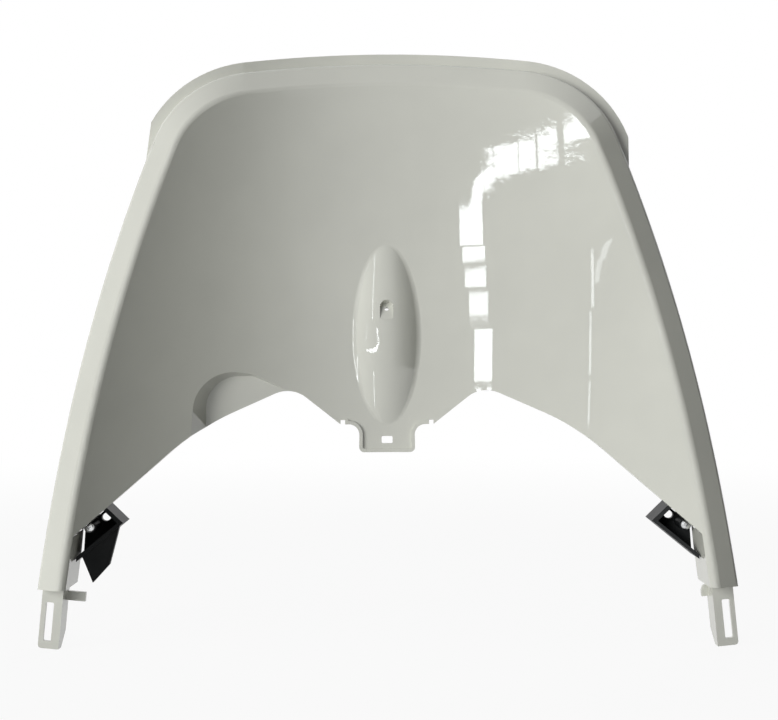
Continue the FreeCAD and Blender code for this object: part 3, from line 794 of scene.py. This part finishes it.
@dataclass
class Studio:
    """The pale floor, the background, the lamps and the camera.

    The window lamp's turn is in degrees from straight in front, towards the right. The card's line is where
    it stands, seen from above.
    """

    camera_place: Vector = field(default_factory=lambda: Vector((0.0, -0.900, -0.03895)))
    focal_pixels: float = 1186.7
    shift: float = 2.26 / PICTURE_WIDTH
    roll: float = -0.00476
    near_clip: float = 0.02
    floor_half: float = 6.0
    fill: float = 0.02
    room_tint: Colour = colour(0.98, 0.99, 1.0)
    aim: Vector = field(default_factory=lambda: Vector((0.0, -0.02, 0.0)))
    window_turn: float = -48.0
    window_away: float = 2.4
    window_rise: float = 0.12
    card_line: tuple[Pair, ...] = ((0.25, -2.1), (1.0, -1.7), (1.6, -0.9), (1.8, 0.3))
    card_heights: Pair = (-0.2, 1.9)

    def hang_camera(self) -> None:
        """Sets the camera level in front of the panel, where the photograph was taken."""
        lens = bpy.data.cameras.new("camera")
        lens.sensor_fit = "HORIZONTAL"
        lens.sensor_width = SENSOR_WIDTH
        lens.lens = self.focal_pixels / PICTURE_WIDTH * SENSOR_WIDTH
        lens.shift_x = self.shift
        lens.clip_start = self.near_clip
        camera = bpy.data.objects.new("camera", lens)
        level = Matrix.Rotation(math.radians(90.0), 4, "X") @ Matrix.Rotation(self.roll, 4, "Z")
        camera.matrix_world = Matrix.Translation(self.camera_place) @ level
        bpy.context.scene.collection.objects.link(camera)
        bpy.context.scene.camera = camera
        log.info("camera with a %.1f mm lens", lens.lens)

    def lay_floor(self, level: float) -> None:
        """Lays the floor paper under the panel's feet.

        Args:
            level: the height of the lowest point.
        """
        mesh = bmesh.new()
        bmesh.ops.create_grid(mesh, x_segments=8, y_segments=8, size=self.floor_half)
        bmesh.ops.translate(mesh, vec=Vector((0.0, 0.0, level)), verts=mesh.verts)
        floor = object_from(mesh, "floor")
        paint(floor, StudioPaper().make())
        floor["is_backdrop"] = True
        log.info("floor at %.1f mm", level / MM)

    def stand_card(self) -> None:
        """Stands a dark card at the right, out of the picture, which darkens the panel's left side."""
        mesh = bmesh.new()
        foot, top = (
            [mesh.verts.new(Vector((across, away, height))) for across, away in self.card_line]
            for height in self.card_heights
        )
        for i in range(len(foot) - 1):
            mesh.faces.new((foot[i], foot[i + 1], top[i + 1], top[i]))
        card = object_from(mesh, "dark_card")
        paint(card, DarkCloth().make())
        card.visible_camera = False
        card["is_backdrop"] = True

    def light_room(self) -> None:
        """Sets the room's even light and the pale background."""
        world = bpy.data.worlds.new("room")
        bpy.context.scene.world = world
        world.use_nodes = True
        mix = Recipe(world.node_tree)
        room = mix.node("ShaderNodeBackground", None, {"Color": self.room_tint, "Strength": self.fill})
        pale = mix.node("ShaderNodeBackground", None, {"Color": WHITE, "Strength": 1.0})
        both = mix.node("ShaderNodeMixShader", None, {0: mix.pale_rays(), 1: room, 2: pale})
        mix.finish(both, "ShaderNodeOutputWorld")

    def hang_lamps(self) -> None:
        """Hangs the big soft lamps and the window's panes."""
        around = math.radians(self.window_turn)
        key = self.aim + self.window_away * Vector((math.sin(around), -math.cos(around), self.window_rise))
        soft = [
            Pane("window_light", key, 1.7, 1.7, 6.7, (1.0, 1.0, 0.99), shown=False),
            Pane("roof_light", Vector((0.0, 0.05, 2.2)), 1.8, 1.4, 1.3, PLAIN_LIGHT, shown=False),
            Pane("back_light", Vector((0.9, 2.3, 0.9)), 1.6, 1.6, 3.2, PLAIN_LIGHT, shown=False),
        ]
        lamps = soft + self.window()
        for lamp in lamps:
            lamp.hang(self.aim)
        log.info("%d lamps", len(lamps))

    def window(self) -> list[Pane]:
        """The panes of the window that the dish and the bump reflect."""
        low = [
            Pane("pane_low_1", Vector((-0.462, -1.408, -0.004)), 0.135, 0.026, WINDOW_GLOW),
            Pane("pane_low_2", Vector((-0.477, -1.404, 0.0210)), 0.140, 0.015, WINDOW_GLOW),
            Pane("pane_low_3", Vector((-0.485, -1.401, 0.0425)), 0.136, 0.013, WINDOW_GLOW),
            Pane("pane_low_4", Vector((-0.500, -1.393, 0.0645)), 0.122, 0.018, WINDOW_GLOW),
            Pane("pane_low_5", Vector((-0.526, -1.376, 0.1010)), 0.095, 0.044, WINDOW_GLOW),
        ]
        bend = [
            Pane("pane_bend_1", Vector((-0.492, -1.396, -0.022)), 0.100, 0.016, WINDOW_GLOW, tilt=0.35),
            Pane("pane_bend_2", Vector((-0.535, -1.376, -0.031)), 0.100, 0.018, WINDOW_GLOW, tilt=0.22),
            Pane("pane_bend_3", Vector((-0.590, -1.348, -0.037)), 0.090, 0.020, WINDOW_GLOW, tilt=0.12),
        ]
        row = [
            Pane("pane_row_1", Vector((-0.668, -1.300, -0.041)), 0.095, 0.022, WINDOW_GLOW, tilt=0.05),
            Pane("pane_row_2", Vector((-0.748, -1.246, -0.044)), 0.090, 0.022, WINDOW_GLOW),
            Pane("pane_row_3", Vector((-0.838, -1.170, -0.043)), 0.125, 0.022, WINDOW_GLOW),
            Pane("pane_row_4", Vector((-0.962, -1.045, -0.040)), 0.150, 0.020, WINDOW_GLOW),
        ]
        far = [
            Pane("pane_far_1", Vector((-1.005, -0.995, 0.052)), 0.022, 0.034, 5.0),
            Pane("pane_far_2", Vector((-0.992, -1.008, 0.090)), 0.020, 0.034, 4.5),
            Pane("pane_far_3", Vector((-0.985, -1.000, 0.124)), 0.018, 0.026, 4.0),
            Pane("pane_far_bend", Vector((-1.050, -0.945, 0.038)), 0.100, 0.008, 3.0, tilt=0.25),
        ]
        lone = [
            Pane("pane_high", Vector((-0.800, -1.300, 0.560)), 0.040, 0.760, 6.5),
            Pane("pane_near", Vector((-0.260, -0.450, -0.155)), 0.012, 0.120, 6.5),
        ]
        return low + bend + row + far + lone


def main() -> None:
    """Builds the scene in order: frame, pieces, studio."""
    logging.basicConfig(level=logging.INFO, format="%(message)s")
    for spare in list(bpy.data.objects):
        bpy.data.objects.remove(spare)
    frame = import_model()
    cad_box = [list(corner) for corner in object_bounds()]
    bpy.context.scene.view_settings.view_transform = "Standard"
    FrontPanel().dress(frame["nodes"])
    moulding = BlackMoulding().make()
    zinc = ZincPlate().make()
    for side in Side:
        CornerTray(side).dress(frame["nodes"], moulding)
        TrayScrew(side).build(zinc)
    studio = Studio()
    studio.hang_camera()
    studio.lay_floor(cad_box[0][2] - FLOOR_GAP)
    studio.stand_card()
    studio.light_room()
    studio.hang_lamps()


if __name__ == "__main__":
    main()
